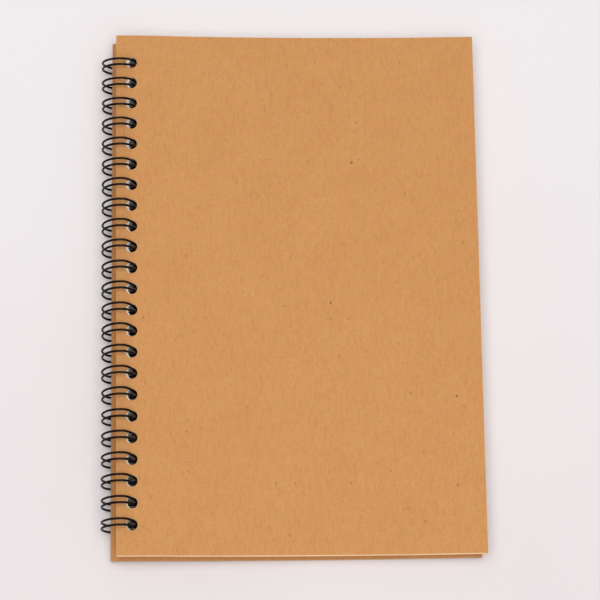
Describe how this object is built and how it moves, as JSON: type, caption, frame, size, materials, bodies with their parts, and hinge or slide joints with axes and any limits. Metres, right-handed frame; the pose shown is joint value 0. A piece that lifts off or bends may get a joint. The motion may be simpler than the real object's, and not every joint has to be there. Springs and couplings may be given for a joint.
{
  "type": "sketchbook",
  "caption": "Closed A5 portrait sketchbook: kraft board covers and white drawing paper on a black twin-loop wire binding along the spine, with leaves that turn.",
  "frame": {"origin": "centre of the closed book's bounding box in plan, at the lowest point of the wire loops", "axes": "+X from the spine to the fore edge, +Y from the tail to the head, +Z from the back cover to the front cover"},
  "size_m": [0.1472, 0.2106, 0.0145],
  "materials": {
    "kraft_board": "matte, fibrous brown kraft board with small dark specks",
    "drawing_paper": "matte, slightly toothed warm-white drawing paper",
    "black_wire": "glossy black nylon-coated steel wire"
  },
  "bodies": {
    "back": {"back_cover": "kraft_board"},
    "binding": {"binding_wire": "black_wire"},
    "leaf_01": {"page_block_01": "drawing_paper"},
    "leaf_02": {"page_block_02": "drawing_paper"},
    "leaf_03": {"page_block_03": "drawing_paper"},
    "leaf_04": {"page_block_04": "drawing_paper"},
    "leaf_05": {"page_block_05": "drawing_paper"},
    "leaf_06": {"page_block_06": "drawing_paper"},
    "leaf_07": {"page_block_07": "drawing_paper"},
    "leaf_08": {"page_block_08": "drawing_paper"},
    "leaf_09": {"page_block_09": "drawing_paper"},
    "leaf_10": {"page_block_10": "drawing_paper"},
    "leaf_11": {"page_block_11": "drawing_paper"},
    "leaf_12": {"page_block_12": "drawing_paper"},
    "front": {"front_cover": "kraft_board"}
  },
  "joints": [
    {"name": "binding_turn", "type": "hinge", "parent": "back", "child": "binding", "pos_m": [-0.06645, 0, 0.00731], "axis": [0, -1, 0], "range_deg": [-20, 20]},
    {"name": "leaf_turn_01", "type": "hinge", "parent": "back", "child": "leaf_01", "pos_m": [-0.06645, 0, 0.00731], "axis": [0, -1, 0], "range_deg": [0, 180]},
    {"name": "leaf_turn_02", "type": "hinge", "parent": "leaf_01", "child": "leaf_02", "pos_m": [-0.06645, 0, 0.00731], "axis": [0, -1, 0], "range_deg": [0, 180]},
    {"name": "leaf_turn_03", "type": "hinge", "parent": "leaf_02", "child": "leaf_03", "pos_m": [-0.06645, 0, 0.00731], "axis": [0, -1, 0], "range_deg": [0, 180]},
    {"name": "leaf_turn_04", "type": "hinge", "parent": "leaf_03", "child": "leaf_04", "pos_m": [-0.06645, 0, 0.00731], "axis": [0, -1, 0], "range_deg": [0, 180]},
    {"name": "leaf_turn_05", "type": "hinge", "parent": "leaf_04", "child": "leaf_05", "pos_m": [-0.06645, 0, 0.00731], "axis": [0, -1, 0], "range_deg": [0, 180]},
    {"name": "leaf_turn_06", "type": "hinge", "parent": "leaf_05", "child": "leaf_06", "pos_m": [-0.06645, 0, 0.00731], "axis": [0, -1, 0], "range_deg": [0, 180]},
    {"name": "leaf_turn_07", "type": "hinge", "parent": "leaf_06", "child": "leaf_07", "pos_m": [-0.06645, 0, 0.00731], "axis": [0, -1, 0], "range_deg": [0, 180]},
    {"name": "leaf_turn_08", "type": "hinge", "parent": "leaf_07", "child": "leaf_08", "pos_m": [-0.06645, 0, 0.00731], "axis": [0, -1, 0], "range_deg": [0, 180]},
    {"name": "leaf_turn_09", "type": "hinge", "parent": "leaf_08", "child": "leaf_09", "pos_m": [-0.06645, 0, 0.00731], "axis": [0, -1, 0], "range_deg": [0, 180]},
    {"name": "leaf_turn_10", "type": "hinge", "parent": "leaf_09", "child": "leaf_10", "pos_m": [-0.06645, 0, 0.00731], "axis": [0, -1, 0], "range_deg": [0, 180]},
    {"name": "leaf_turn_11", "type": "hinge", "parent": "leaf_10", "child": "leaf_11", "pos_m": [-0.06645, 0, 0.00731], "axis": [0, -1, 0], "range_deg": [0, 180]},
    {"name": "leaf_turn_12", "type": "hinge", "parent": "leaf_11", "child": "leaf_12", "pos_m": [-0.06645, 0, 0.00731], "axis": [0, -1, 0], "range_deg": [0, 180]},
    {"name": "front_cover_turn", "type": "hinge", "parent": "leaf_12", "child": "front", "pos_m": [-0.06645, 0, 0.00731], "axis": [0, -1, 0], "range_deg": [0, 180]}
  ]
}
